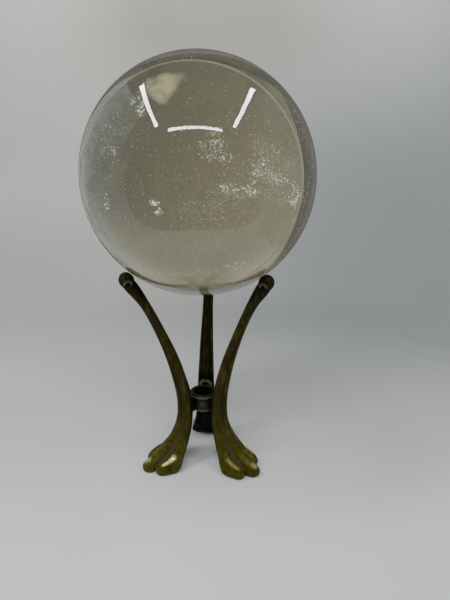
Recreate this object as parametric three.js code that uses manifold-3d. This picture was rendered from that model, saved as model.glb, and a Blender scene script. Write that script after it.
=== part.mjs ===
// A crystal ball resting on a three-legged cast brass stand.
//
// Frame: millimetres, +Z up, origin on the floor straight below the ball's centre.
// The rear leg stands towards +Y, and the two front legs 120 degrees to either side of it.

import * as THREE from 'three';
import { mergeVertices } from 'three/addons/utils/BufferGeometryUtils.js';
import Module from 'manifold-3d';

const wasm = await Module();
wasm.setup();

// ---------------------------------------------------------------- driving dimensions

const BALL_RADIUS = 55;
const BALL_HEIGHT = 2.75 * BALL_RADIUS; // the ball's centre above the floor
const FIT_GAP = 0.3; // between pieces that touch

// The leg is a loft of level sections. Each row is one level: its height, how far its inner and
// outer sides are from the stand's axis, and half its width.
const LEG_LEVELS = [
  [0, 19.6, 34.8, 8.8],
  [1.5, 18.3, 36.4, 10.4],
  [4.8, 16.4, 34.0, 10.0],
  [8.5, 14.2, 28.8, 8.8],
  [14.5, 10.9, 22.2, 7.4],
  [21, 8.3, 17.9, 6.2],
  [28, 7.0, 15.7, 5.2],
  [36, 7.0, 15.3, 4.7],
  [46, 8.8, 16.5, 4.4],
  [63, 13.9, 20.6, 3.7],
  [81, 21.5, 26.9, 3.0],
  [93, 27.1, 32.7, 3.1],
  [102, 31.7, 39.4, 3.4],
  [107, 34.7, 41.3, 3.2],
];

// Half outlines of a level section, from the outer side round to the inner side. The first number
// runs from -1 at the inner side to 1 at the outer side, the second is a share of the half-width.
const PAW = [[1, 0], [0.75, 0.34], [0.27, 0.44], [0.28, 0.86], [-0.8, 1], [-0.97, 0.5], [-1, 0]];
const FLUTED = [[1, 0], [0.9, 0.34], [0.58, 0.62], [-0.12, 1], [-0.65, 0.84], [-0.86, 0.45], [-1, 0]];
const ROUNDED = [[1, 0], [0.92, 0.4], [0.7, 0.72], [0, 1], [-0.62, 0.82], [-0.9, 0.45], [-1, 0]];
const PAW_TOP = 24; // height where the paw has become the fluted shaft
const FLUTE_FADE = [66, 98]; // heights between which the flutes fade out
const SHAFT_SIDES = 36; // facets round the leg
const SHAFT_LEVELS = 26; // and up it

const HEAD = { distance: 38.1, height: 106.4, depth: 3.7, width: 3.6, length: 3.9, lean: 25 };
const NECK_CLEARANCE = 2; // between the ball and the end of the shaft, below the head

const RING_TOP = 39.5; // above the floor
const RING_BOTTOM = 29.8;
const RING_RIM = { radius: 7.6, thickness: 1.7 };
const RING_FOOT = { radius: 6.4, thickness: 1.2 };
const RING_WAIST_RADIUS = 5.9;
const RING_BORE_RADIUS = 4.9;
const RING_SIDES = 30;

const LUG_WIDTH = 6.2;
const LUG_ROOT = 10; // distance from the stand's axis where the lug ends inside the leg
const BOSS_TOP = 41.4; // the leg's rounded boss, outside the ring's rim
const RIVET_RADIUS = 1.0;
const RIVET_HEAD = { radius: 1.4, flat: 0.8, height: 0.5 };
const RIVET_REACH = 8.2; // from the stand's axis to the rivet's tip

const LEGS = [
  { name: 'rear', azimuth: 90 },
  { name: 'front_left', azimuth: 210 },
  { name: 'front_right', azimuth: 330 },
];

const waistTop = RING_TOP - RING_RIM.thickness;
const waistBottom = RING_BOTTOM + RING_FOOT.thickness;
const waistMiddle = (waistTop + waistBottom) / 2;

// ---------------------------------------------------------------- solids

function toManifold(geometry) {
  const bare = geometry.clone();
  bare.deleteAttribute('normal');
  bare.deleteAttribute('uv');
  const merged = mergeVertices(bare);
  return new wasm.Manifold(new wasm.Mesh({
    numProp: 3,
    vertProperties: new Float32Array(merged.attributes.position.array),
    triVerts: new Uint32Array(merged.index.array),
  }));
}

function toGeometry(manifold) {
  const mesh = manifold.getMesh();
  const geometry = new THREE.BufferGeometry();
  geometry.setAttribute('position', new THREE.BufferAttribute(mesh.vertProperties, 3));
  geometry.setIndex(new THREE.BufferAttribute(mesh.triVerts, 1));
  return geometry;
}

function ballSolid(clearance) {
  const radius = BALL_RADIUS + clearance;
  return toManifold(new THREE.SphereGeometry(radius, 96, 64).translate(0, 0, BALL_HEIGHT));
}

// ---------------------------------------------------------------- leg

// The closed outline of the level section at a share t of the way up the leg.
function levelOutline(outerSide, innerSide, t) {
  const { x: outer, y: halfWidth, z: height } = outerSide.getPoint(t);
  const inner = innerSide.getPoint(t).x;
  const middle = (outer + inner) / 2;
  const halfDepth = (outer - inner) / 2;
  const paw = 1 - THREE.MathUtils.smoothstep(height, 0, PAW_TOP);
  const rounded = THREE.MathUtils.smoothstep(height, ...FLUTE_FADE);
  const half = FLUTED.map((fluted, i) => fluted.map((value, k) => {
    const lower = THREE.MathUtils.lerp(value, PAW[i][k], paw);
    return THREE.MathUtils.lerp(lower, ROUNDED[i][k], rounded);
  }));
  const mirrored = half.slice(1, -1).reverse().map(([x, y]) => [x, -y]);
  const points = [...half, ...mirrored].map(
    ([x, y]) => new THREE.Vector3(middle + halfDepth * x, halfWidth * y, height),
  );
  return new THREE.CatmullRomCurve3(points, true);
}

// The shaft and its paw, in the leg's own frame: X points away from the stand's axis.
function shaft() {
  const side = (column) => new THREE.CatmullRomCurve3(
    LEG_LEVELS.map((row) => new THREE.Vector3(row[column], row[3], row[0])), false, 'catmullrom',
  );
  const innerSide = side(1);
  const outerSide = side(2);
  const geometry = new THREE.CylinderGeometry(1, 1, 1, SHAFT_SIDES, SHAFT_LEVELS);
  const points = geometry.attributes.position;
  for (let i = 0; i < points.count; i += 1) {
    const [x, y, z] = [points.getX(i), points.getY(i), points.getZ(i)];
    const outline = levelOutline(outerSide, innerSide, y + 0.5);
    const turn = (Math.atan2(-z, x) / (2 * Math.PI) + 1) % 1;
    const onCentre = Math.hypot(x, z) < 0.5;
    const place = onCentre
      ? outline.getPoint(0).add(outline.getPoint(0.5)).multiplyScalar(0.5)
      : outline.getPoint(turn);
    points.setXYZ(i, place.x, place.y, place.z);
  }
  return toManifold(geometry);
}

// The oval bead on top of the leg that the ball rests on.
function head() {
  return toManifold(new THREE.SphereGeometry(1, 20, 12)
    .rotateX(Math.PI / 2)
    .scale(HEAD.depth, HEAD.width, HEAD.length)
    .rotateY(THREE.MathUtils.degToRad(HEAD.lean))
    .translate(HEAD.distance, 0, HEAD.height));
}

// A block on the inside of the leg, as wide as the lug, with a rounded top edge.
function innerBlock(from, bottom, top) {
  const half = LUG_WIDTH / 2;
  const outline = new THREE.Shape();
  outline.moveTo(-half, bottom);
  outline.lineTo(half, bottom);
  outline.absarc(0, top - half, half, 0, Math.PI);
  outline.closePath();
  const block = new THREE.ExtrudeGeometry(outline, {
    depth: LUG_ROOT - from, bevelEnabled: false, curveSegments: 10,
  });
  return toManifold(block.rotateX(Math.PI / 2).rotateZ(Math.PI / 2).translate(from, 0, 0));
}

// The boss stands just outside the ring's rims, and the lug reaches in to its waist under the rim.
function lugAndBoss() {
  const lugBottom = RING_BOTTOM + FIT_GAP;
  const lugTop = waistTop - FIT_GAP;
  const lug = toManifold(
    new THREE.BoxGeometry(LUG_ROOT - RING_WAIST_RADIUS - FIT_GAP, LUG_WIDTH, lugTop - lugBottom)
      .translate((LUG_ROOT + RING_WAIST_RADIUS + FIT_GAP) / 2, 0, (lugTop + lugBottom) / 2),
  );
  const footSpace = toManifold(upright(RING_FOOT.radius + FIT_GAP, 0, waistBottom + FIT_GAP));
  return lug.subtract(footSpace).add(innerBlock(RING_RIM.radius + FIT_GAP, RING_BOTTOM, BOSS_TOP));
}

// An upright cylinder on the stand's axis.
function upright(radius, bottom, top) {
  return new THREE.CylinderGeometry(radius, radius, top - bottom, 48)
    .rotateX(Math.PI / 2)
    .translate(0, 0, (bottom + top) / 2);
}

// A bar along X at the height of the ring's waist, from one distance to another.
function waistBar(radius, from, to) {
  return toManifold(new THREE.CylinderGeometry(radius, radius, to - from, 16)
    .rotateZ(-Math.PI / 2)
    .translate((from + to) / 2, 0, waistMiddle));
}

function leg() {
  const side = 4 * BALL_RADIUS;
  const belowFloor = toManifold(new THREE.BoxGeometry(side, side, side).translate(0, 0, -side / 2));
  const rimSpace = toManifold(upright(RING_RIM.radius + FIT_GAP, waistTop - FIT_GAP, BOSS_TOP));
  return shaft()
    .subtract(rimSpace)
    .subtract(ballSolid(NECK_CLEARANCE))
    .add(head())
    .subtract(ballSolid(FIT_GAP))
    .add(lugAndBoss())
    .subtract(belowFloor)
    .subtract(waistBar(RIVET_RADIUS + FIT_GAP, RING_BORE_RADIUS, RIVET_REACH + FIT_GAP));
}

// ---------------------------------------------------------------- ring and rivets

// Carries a profile out along the lower face of a rim and round its edge.
function addRim(profile, { radius, thickness }, bottom) {
  const round = thickness / 2;
  profile.lineTo(radius - round, bottom);
  profile.absarc(radius - round, bottom + round, round, -Math.PI / 2, Math.PI / 2);
}

// A spool with a wide rounded rim on top, a narrow waist and a smaller foot rim.
function ring() {
  const profile = new THREE.Path();
  profile.moveTo(RING_BORE_RADIUS, RING_BOTTOM);
  addRim(profile, RING_FOOT, RING_BOTTOM);
  profile.lineTo(RING_WAIST_RADIUS, waistBottom);
  profile.lineTo(RING_WAIST_RADIUS, waistTop);
  addRim(profile, RING_RIM, waistTop);
  profile.lineTo(RING_BORE_RADIUS, RING_TOP);
  profile.closePath();
  const spool = toManifold(new THREE.LatheGeometry(profile.getPoints(4), RING_SIDES).rotateX(Math.PI / 2));
  const hole = waistBar(RIVET_RADIUS + FIT_GAP, 0, RING_RIM.radius);
  return LEGS.reduce((rest, { azimuth }) => rest.subtract(hole.rotate([0, 0, azimuth])), spool);
}

// A flat-topped rivet along X. Its head sits inside the ring's bore and its shank ends in the leg.
function rivet() {
  const bearing = Math.sqrt(RING_BORE_RADIUS ** 2 - RIVET_HEAD.radius ** 2) - FIT_GAP;
  const top = bearing - RIVET_HEAD.height;
  const profile = [
    [0, top],
    [RIVET_HEAD.flat, top],
    [RIVET_HEAD.radius, bearing],
    [RIVET_RADIUS, bearing],
    [RIVET_RADIUS, RIVET_REACH - RIVET_RADIUS / 2],
    [RIVET_RADIUS / 2, RIVET_REACH],
    [0, RIVET_REACH],
  ].map(([radius, distance]) => new THREE.Vector2(radius, distance));
  return new THREE.LatheGeometry(profile, 16).rotateZ(-Math.PI / 2).translate(0, 0, waistMiddle);
}

// ---------------------------------------------------------------- assembly

const BRASS = { color: 0x7a6c38, roughness: 0.38, metalness: 1 };
const DARK_BRASS = { color: 0x3b3f33, roughness: 0.5, metalness: 1 };
const QUARTZ = { color: 0xb9b6a6, roughness: 0.03, metalness: 0, transparent: true, opacity: 0.5 };

const group = new THREE.Group();

function addPiece(name, geometry, look, azimuth = 0) {
  const mesh = new THREE.Mesh(geometry, new THREE.MeshStandardMaterial(look));
  mesh.name = name;
  mesh.rotation.z = THREE.MathUtils.degToRad(azimuth);
  group.add(mesh);
}

const ball = new THREE.SphereGeometry(BALL_RADIUS, 40, 24).rotateX(Math.PI / 2);
addPiece('crystal_ball', ball.translate(0, 0, BALL_HEIGHT), QUARTZ);
addPiece('center_ring', toGeometry(ring()), DARK_BRASS);

for (const { name, azimuth } of LEGS) {
  addPiece(`leg_${name}`, toGeometry(leg()), BRASS, azimuth);
  addPiece(`rivet_${name}`, rivet(), DARK_BRASS, azimuth);
}

export default group;
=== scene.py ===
"""A crystal ball on a three-legged cast brass stand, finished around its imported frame.

Metres, +Z up. The drawing sizes below are in millimetres of the stand whose ball is 110 mm across,
and MM turns them into the frame's metres. A leg is drawn in its own frame: X points away from the
stand's axis, and the leg is then turned to its azimuth.
"""
import math
import random

import bmesh
import bpy
import numpy as np
from mathutils import Matrix, Vector, noise


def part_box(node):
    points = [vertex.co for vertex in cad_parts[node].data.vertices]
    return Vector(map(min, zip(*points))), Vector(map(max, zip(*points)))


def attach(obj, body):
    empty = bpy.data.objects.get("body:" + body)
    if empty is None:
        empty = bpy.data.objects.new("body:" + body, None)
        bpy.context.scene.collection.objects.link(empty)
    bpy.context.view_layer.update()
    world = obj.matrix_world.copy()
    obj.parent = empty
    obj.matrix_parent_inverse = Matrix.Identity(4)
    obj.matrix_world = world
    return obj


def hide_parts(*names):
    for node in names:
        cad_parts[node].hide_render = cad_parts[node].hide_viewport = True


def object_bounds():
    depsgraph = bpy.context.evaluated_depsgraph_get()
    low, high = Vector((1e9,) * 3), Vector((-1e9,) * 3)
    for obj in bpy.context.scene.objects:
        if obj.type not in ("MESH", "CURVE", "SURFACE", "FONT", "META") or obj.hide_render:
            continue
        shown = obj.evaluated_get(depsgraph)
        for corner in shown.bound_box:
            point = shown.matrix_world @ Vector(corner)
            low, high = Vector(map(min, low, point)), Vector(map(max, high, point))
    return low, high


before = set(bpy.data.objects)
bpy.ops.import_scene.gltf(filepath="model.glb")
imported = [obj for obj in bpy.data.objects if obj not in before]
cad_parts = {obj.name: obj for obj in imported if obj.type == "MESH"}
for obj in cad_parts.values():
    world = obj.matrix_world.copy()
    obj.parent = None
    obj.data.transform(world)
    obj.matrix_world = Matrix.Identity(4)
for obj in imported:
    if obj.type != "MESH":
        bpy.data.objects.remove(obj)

# noise_vector is shifted by a generator that Blender seeds from the clock, unless it is seeded here.
noise.seed_set(1)

# ---------------------------------------------------------------- sizes from the frame

cad_low, cad_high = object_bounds()
ball_low, ball_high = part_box("crystal_ball")
ring_low, ring_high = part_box("center_ring")

BALL_RADIUS = (ball_high.z - ball_low.z) / 2
BALL_CENTRE = (ball_low + ball_high) / 2
MM = BALL_RADIUS / 55

# Pieces that touch on the real stand keep this gap: in mm, and in metres.
GAP = 0.3
FIT_GAP = GAP * MM

# ---------------------------------------------------------------- drawing sizes, in mm

LEGS = {"rear": 90, "front_left": 210, "front_right": 330}

# Castings set by hand aren't quite alike: how far a paw is turned about the stand, in degrees.
PAW_TURN = {"rear": 0, "front_left": 2.6, "front_right": -0.6}
PAW_TURN_HEIGHTS = (6, 62)

# One row is one level of the leg: height, inner side, outer side, half-width.
LEG_LEVELS = [
    (0, 19.6, 34.8, 8.8),
    (1.5, 18.3, 36.4, 10.4),
    (4.8, 16.4, 34.0, 10.0),
    (8.5, 14.2, 28.8, 8.8),
    (14.5, 10.9, 22.2, 7.4),
    (21, 8.3, 17.9, 6.2),
    (28, 7.0, 15.7, 5.2),
    (36, 7.0, 15.3, 4.7),
    (46, 8.8, 16.5, 4.4),
    (63, 13.9, 20.6, 3.7),
    (81, 21.5, 26.9, 3.0),
    (93, 27.1, 32.7, 3.1),
    (102, 31.7, 39.4, 3.4),
    (107, 34.7, 41.3, 3.2),
]

# Half outlines of a level, from the outer side (1, 0) round to the inner side (-1, 0).
PAW = np.array([(1, 0), (0.75, 0.34), (0.27, 0.44), (0.28, 0.86), (-0.8, 1), (-0.97, 0.5), (-1, 0)])
FLUTED = np.array([(1, 0), (0.9, 0.34), (0.58, 0.62), (-0.12, 1), (-0.65, 0.84), (-0.86, 0.45), (-1, 0)])
ROUNDED = np.array([(1, 0), (0.92, 0.4), (0.7, 0.72), (0, 1), (-0.62, 0.82), (-0.9, 0.45), (-1, 0)])
PAW_TOP = 24
FLUTE_FADE = (66, 98)
LOFT_SIDES = 168
LOFT_LEVELS = 360

# Grooves cut into the outline: the front one lies between the outer and the side ridge, and
# runs down between the toes. Places count the outline's points from the outer side.
FRONT_GROOVE = {"shaft_place": 1.55, "paw_place": 2.0, "width": 0.5, "shaft_depth": 0.5, "paw_depth": 0.9}
BACK_GROOVE = {"place": 4.75, "width": 0.4, "depth": 0.4}
GROOVE_FADE = {"heights": (78, 103), "share": 0.7}

# Toes are chains of balls: distance, sideways, height, radius.
MIDDLE_TOE = [(19.6, 0, 11.6, 3.8), (26.2, 0, 6.0, 3.8), (31.2, 0, 3.3, 3.5), (33.5, 0, 2.4, 3.2)]
SIDE_TOE = [
    (15.8, 5.2, 10.8, 2.5), (18.4, 5.9, 7.8, 3.1), (21.2, 6.4, 5.6, 3.6),
    (24.4, 6.7, 4.3, 3.6), (27.2, 6.6, 3.5, 3.2), (29.0, 6.3, 2.9, 2.7),
]
OTHER_SIDE_TOE = [(x, -y, z, radius) for x, y, z, radius in SIDE_TOE]

HEAD = {"centre": (38.1, 0, 106.4), "radii": (3.7, 3.6, 3.9), "lean": 25}

# A crescent stands out under the bead on both flanks, round a shallow dent: distance and height of
# its centre, its radius and width, how far it is raised and the dent sunk, and the distances
# sideways and upwards from its centre between which it comes in.
CRESCENT = {
    "distance": 38.1, "height": 104.9, "radius": 1.6, "width": 0.5, "lift": 0.28, "dent": 0.35,
    "flank": (1.2, 2.4), "upper": (-0.9, 0.3),
}
NECK_CLEARANCE = 2

# Hands have rubbed the toes bright along their crests, and a painted highlight lies over this,
# strongest on the side toe at +Y: a toe's stations, which way the crest faces from them, and how
# bright it is. A streak narrows and fades from its root to its tip.
POLISHED_HIGHLIGHTS = [
    (SIDE_TOE[2:5], (0.15, 0.45, 0.88), 1.0),
    (MIDDLE_TOE[2:4], (0.45, 0, 0.89), 0.55),
    (OTHER_SIDE_TOE[2:5], (0.15, -0.45, 0.88), 0.15),
]
POLISH_HIGHLIGHT = {"root_width": 1.035, "tip_width": 0.63, "fade": 0.35, "spots": 12}

# Where a leg is rubbed, where painted highlights lie, and where dirt and painted shade darken it.
# Heights, distances from the stand's axis and shares of the way that a face is turned inwards are
# pairs, between which a mark comes in or goes out.
RUBBED_HEIGHTS = (4, 40)
# Painted shade round the ring, where the ring and the other legs shade each leg.
RING_SHADE = {"distance": (9.0, 11.8), "bottom": (26, 29), "top": (41, 50)}
# Painted shade on the legs' inner faces, low down under the ring.
INNER_SHADE = {"inwards": (0.25, 0.7), "top": (36, 51)}
# The heads are darker towards their tops.
HEAD_DARKENING = {"heights": (84, 104), "share": 0.45}
# Painted shade in the dent inside each crescent.
DENT_SHADE = 0.5
# A painted highlight along the boss's round top edge.
HIGHLIGHT_ARCH = {"width": 0.6, "distance": 9.5, "share": 0.8}

# Unevenness of a cast surface: how deep and how wide its lumps are.
LEG_LUMPS = [(0.05, 4.0), (0.015, 1.1)]
RING_LUMPS = (0.05, 2.2)

LUG = {"width": 6.2, "root": 10.0, "bottom": 30.1, "top": 37.5}
BOSS = {"inner": 7.9, "bottom": 29.8, "top": 41.4}
RING_PROFILE = {"bore": 4.9, "waist": 5.9, "rim": (7.6, 1.7), "foot": (6.4, 1.2)}
RIVET = {"radius": 1.0, "head_radius": 1.4, "head_height": 0.5, "reach": 8.2, "bevel": 0.4}

# The ball's surface is true to a few hundredths of a millimetre: how deep and how wide its dips are,
# the first in mm and the second as dips to a ball radius.
BALL_DIPS = (0.03, 1.7)

# Inclusions in the ball, in mm, and how far out they reach, in ball radii.
FLAKE_SIDES = 5
FLAKE_THICKNESS = 0.04
SHEET_THICKNESS = 0.03
INCLUSION_REACH = 0.93

# A small spot on the ring's waist where the copper shows: its place, size and share.
COPPER_SPOT = {"place": (0, -5.9, 34.2), "size": 1.1, "share": 0.7}

# The rims' lower edges have a painted highlight in front: where in the rim's thickness, how wide, and
# between which shares of facing forwards. The bore has painted shade to a little beyond its edge.
EDGE_HIGHLIGHT = {"height": 0.45, "width": 0.4, "forwards": (0.3, 0.9)}
BORE_SHADE = 0.5

# How fine the meshes are: the legs' grid, the steps of the ring's outline and its steps round Z.
VOXEL = 0.36
RING_STEP = 0.3
RING_SIDES = 168

# ---------------------------------------------------------------- meshes


def smoothstep(value, low, high):
    share = np.clip((value - low) / (high - low), 0, 1)
    return share * share * (3 - 2 * share)


def bell(away, width):
    return np.exp(-((away / width) ** 2))


def catmull_rom(points, place, closed=False):
    """Points on a Catmull-Rom curve at the given shares, 0 to 1, of the way along it."""
    points = np.asarray(points, float)
    count = len(points)
    place = np.asarray(place, float)
    if closed:
        at = (place % 1) * count
        first = np.floor(at).astype(int)
        a, b, c, d = (points[(first + k) % count] for k in (-1, 0, 1, 2))
    else:
        padded = np.vstack([2 * points[0] - points[1], points, 2 * points[-1] - points[-2]])
        at = np.clip(place, 0, 1) * (count - 1)
        first = np.minimum(np.floor(at).astype(int), count - 2)
        a, b, c, d = (padded[first + k] for k in range(4))
    w = (at - first)[:, None]
    return b + 0.5 * w * ((c - a) + w * ((2 * a - 5 * b + 4 * c - d) + w * (3 * (b - c) + d - a)))


def tube_faces(levels, sides):
    """Quads between stacked rings of points, with a cap at each end."""
    faces = []
    for i in range(levels - 1):
        for k in range(sides):
            after = (k + 1) % sides
            faces.append((i * sides + k, i * sides + after, (i + 1) * sides + after, (i + 1) * sides + k))
    faces.append(tuple(reversed(range(sides))))
    faces.append(tuple((levels - 1) * sides + k for k in range(sides)))
    return faces


def ellipsoid(centre, radii, lean=0, sides=32, levels=20):
    """Points and faces of an ellipsoid, whose long way is tipped outwards by lean degrees."""
    polar = np.linspace(0, math.pi, levels + 1)[1:-1]
    turn = np.arange(sides) / sides * 2 * math.pi
    ring = np.stack([np.cos(turn), np.sin(turn), np.zeros(sides)], 1)
    rows = [ring * [math.sin(p), math.sin(p), 0] + [0, 0, -math.cos(p)] for p in polar]
    points = np.vstack(rows) * radii
    tilt = np.array(Matrix.Rotation(math.radians(lean), 3, "Y"))
    return points @ tilt.T + centre, tube_faces(levels - 1, sides)


def chain(stations, per_span=12):
    """Overlapping balls along a curve through stations of (x, y, z, radius)."""
    place = np.linspace(0, 1, per_span * (len(stations) - 1) + 1)
    return [ellipsoid(row[:3], (row[3],) * 3) for row in catmull_rom(stations, place)]


def slab(outline, start, end):
    """A closed outline of (sideways, height) points, extruded along X from start to end."""
    points = [(x, y, z) for x in (start, end) for y, z in outline]
    return np.array(points, float), tube_faces(2, len(outline))


def join(parts):
    """Several (points, faces) as one."""
    points, faces, offset = [], [], 0
    for part_points, part_faces in parts:
        points.append(part_points)
        faces += [tuple(i + offset for i in face) for face in part_faces]
        offset += len(part_points)
    return np.vstack(points), faces


def make_mesh(name, points, faces, smooth=True):
    mesh = bpy.data.meshes.new(name)
    mesh.from_pydata([tuple(p) for p in points], [], faces)
    mesh.polygons.foreach_set("use_smooth", [smooth] * len(mesh.polygons))
    mesh.update()
    return mesh


def mesh_points(mesh):
    points = np.zeros(len(mesh.vertices) * 3)
    mesh.vertices.foreach_get("co", points)
    return points.reshape(-1, 3)


def set_mesh_points(mesh, points):
    mesh.vertices.foreach_set("co", np.asarray(points, np.float32).ravel())
    mesh.update()


def mesh_normals(mesh):
    normals = np.zeros(len(mesh.vertices) * 3)
    mesh.vertices.foreach_get("normal", normals)
    return normals.reshape(-1, 3)


def set_attribute(mesh, name, values):
    mesh.attributes.new(name, "FLOAT", "POINT").data.foreach_set("value", np.asarray(values, np.float32))


def fused(name, parts, voxel, smoothing):
    """Overlapping closed parts as one rounded skin."""
    points, faces = join(parts)
    rough = bpy.data.objects.new(name, make_mesh(name, points, faces))
    bpy.context.scene.collection.objects.link(rough)
    remesh = rough.modifiers.new("skin", "REMESH")
    remesh.mode = "VOXEL"
    remesh.voxel_size = voxel
    soften = rough.modifiers.new("soften", "SMOOTH")
    soften.factor = 0.5
    soften.iterations = smoothing
    ready = rough.evaluated_get(bpy.context.evaluated_depsgraph_get())
    mesh = bpy.data.meshes.new_from_object(ready)
    bpy.data.objects.remove(rough)
    mesh.polygons.foreach_set("use_smooth", [True] * len(mesh.polygons))
    return mesh


def neighbour_mean(values, edges, count):
    total = np.zeros((count,) + values.shape[1:])
    np.add.at(total, edges[:, 0], values[edges[:, 1]])
    np.add.at(total, edges[:, 1], values[edges[:, 0]])
    degree = np.bincount(edges.ravel(), minlength=count)
    return total / degree.reshape((-1,) + (1,) * (values.ndim - 1))


def mark_wear(mesh, broad=14):
    """Stores how far each point stands out of its surroundings (wear) or lies in them (hollow)."""
    count = len(mesh.vertices)
    points = mesh_points(mesh)
    edges = np.zeros(len(mesh.edges) * 2, int)
    mesh.edges.foreach_get("vertices", edges)
    edges = edges.reshape(-1, 2)
    normals = mesh_normals(mesh)
    around = points
    for _ in range(broad):
        around = neighbour_mean(around, edges, count)
    proud = ((points - around) * normals).sum(1)
    proud = 0.5 * (proud + neighbour_mean(proud, edges, count))
    middle = np.median(proud)
    high, low = np.percentile(proud, 98), np.percentile(proud, 3)
    wear = np.clip((proud - middle) / (high - middle), 0, 1)
    hollow = np.clip((middle - proud) / (middle - low), 0, 1)
    set_attribute(mesh, "wear", wear)
    set_attribute(mesh, "hollow", hollow)


def clear_of_ball(points, clearance):
    """Moves points that are too near the ball straight out to the clearance."""
    away = points - np.array(BALL_CENTRE)
    distance = np.linalg.norm(away, axis=1, keepdims=True)
    return np.array(BALL_CENTRE) + away * np.maximum(1, (BALL_RADIUS + clearance) / distance)


def uneven(points, depth, size, seed):
    """Hand-finished unevenness: each point moves by up to depth, in lumps of about size."""
    offset = Vector((seed * 7.31, seed * 3.17, seed * 5.71))
    moves = [noise.noise_vector(Vector(p) / size + offset) for p in points]
    return points + depth * np.array(moves)


# ---------------------------------------------------------------- leg


def groove_depth(place, height):
    """How deep the grooves are at a place along the half outline and a height."""
    front, back, fade = FRONT_GROOVE, BACK_GROOVE, GROOVE_FADE
    paw = 1 - smoothstep(height, 0, PAW_TOP)
    front_place = front["shaft_place"] + paw * (front["paw_place"] - front["shaft_place"])
    front_depth = front["shaft_depth"] + paw * (front["paw_depth"] - front["shaft_depth"])
    depth = front_depth * bell(place - front_place, front["width"])
    depth = depth + (1 - paw) * back["depth"] * bell(place - back["place"], back["width"])
    return depth * (1 - fade["share"] * smoothstep(height, *fade["heights"]))


def leg_loft():
    rows = catmull_rom(LEG_LEVELS, np.linspace(0, 1, LOFT_LEVELS))
    turn = np.arange(LOFT_SIDES) / LOFT_SIDES
    half_count = len(PAW) - 1
    place = half_count * (1 - np.abs(1 - 2 * turn))
    rings = []
    for height, inner, outer, half_width in rows:
        paw = 1 - smoothstep(height, 0, PAW_TOP)
        rounded = smoothstep(height, *FLUTE_FADE)
        half = FLUTED + (PAW - FLUTED) * paw
        half = half + (ROUNDED - half) * rounded
        outline = np.vstack([half, half[-2:0:-1] * (1, -1)])
        ring = catmull_rom(outline, turn, closed=True)
        ring = ring * ((outer - inner) / 2, half_width) + ((outer + inner) / 2, 0)
        along = np.roll(ring, -1, 0) - np.roll(ring, 1, 0)
        outward = np.stack([along[:, 1], -along[:, 0]], 1)
        outward /= np.linalg.norm(outward, axis=1, keepdims=True)
        ring = ring - outward * groove_depth(place, height)[:, None]
        rings.append(np.column_stack([ring, np.full(LOFT_SIDES, height)]))
    points = clear_of_ball(np.vstack(rings) * MM, NECK_CLEARANCE * MM) / MM
    return points, tube_faces(LOFT_LEVELS, LOFT_SIDES)


def boss_outline():
    """An upright outline with a round top, as wide as the lug."""
    half = LUG["width"] / 2
    arc = [
        (half * math.cos(a), BOSS["top"] - half + half * math.sin(a))
        for a in np.linspace(0, math.pi, 25)
    ]
    return [(-half, BOSS["bottom"]), (half, BOSS["bottom"]), *arc]


def lug_outline():
    half = LUG["width"] / 2
    return [(-half, LUG["bottom"]), (half, LUG["bottom"]), (half, LUG["top"]), (-half, LUG["top"])]


def leg_mesh():
    """One leg in its own frame, in metres."""
    parts = [
        leg_loft(),
        ellipsoid(HEAD["centre"], HEAD["radii"], HEAD["lean"], 48, 32),
        slab(boss_outline(), BOSS["inner"], LUG["root"]),
        slab(lug_outline(), RING_PROFILE["waist"] + GAP, LUG["root"]),
    ]
    for toe in (MIDDLE_TOE, SIDE_TOE, OTHER_SIDE_TOE):
        parts += chain(toe)
    mesh = fused("leg", [(points * MM, faces) for points, faces in parts], VOXEL * MM, 5)
    carve_crescent(mesh)
    mark_age(mesh)
    return mesh


def on_crescent(points):
    """How much each point, in mm, belongs to the raised crescent and to the dent inside it."""
    upwards = points[:, 2] - CRESCENT["height"]
    across = np.hypot(points[:, 0] - CRESCENT["distance"], upwards)
    flank = smoothstep(np.abs(points[:, 1]), *CRESCENT["flank"])
    upper = smoothstep(upwards, *CRESCENT["upper"])
    ridge = bell(across - CRESCENT["radius"], CRESCENT["width"])
    dent = np.exp(-((across / (CRESCENT["radius"] - CRESCENT["width"])) ** 4))
    return ridge * flank * upper, dent * flank


def carve_crescent(mesh):
    points = mesh_points(mesh) / MM
    ridge, dent = on_crescent(points)
    lift = CRESCENT["lift"] * ridge - CRESCENT["dent"] * dent
    set_mesh_points(mesh, (points + mesh_normals(mesh) * lift[:, None]) * MM)


def toe_polish_and_highlight(points):
    """How strongly each point, in mm, has polishing and a painted highlight."""
    polish_and_highlight = np.zeros(len(points))
    way = np.linspace(0, 1, POLISH_HIGHLIGHT["spots"])
    for stations, facing, share in POLISHED_HIGHLIGHTS:
        crest = [np.array(station[:3]) + station[3] * np.array(facing) for station in stations]
        for spot, along in zip(catmull_rom(crest, way), way):
            width = POLISH_HIGHLIGHT["root_width"] + along * (POLISH_HIGHLIGHT["tip_width"] - POLISH_HIGHLIGHT["root_width"])
            near = bell(np.linalg.norm(points - spot, axis=1), width)
            polish_and_highlight = np.maximum(polish_and_highlight, share * (1 - POLISH_HIGHLIGHT["fade"] * along) * near)
    return polish_and_highlight


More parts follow.
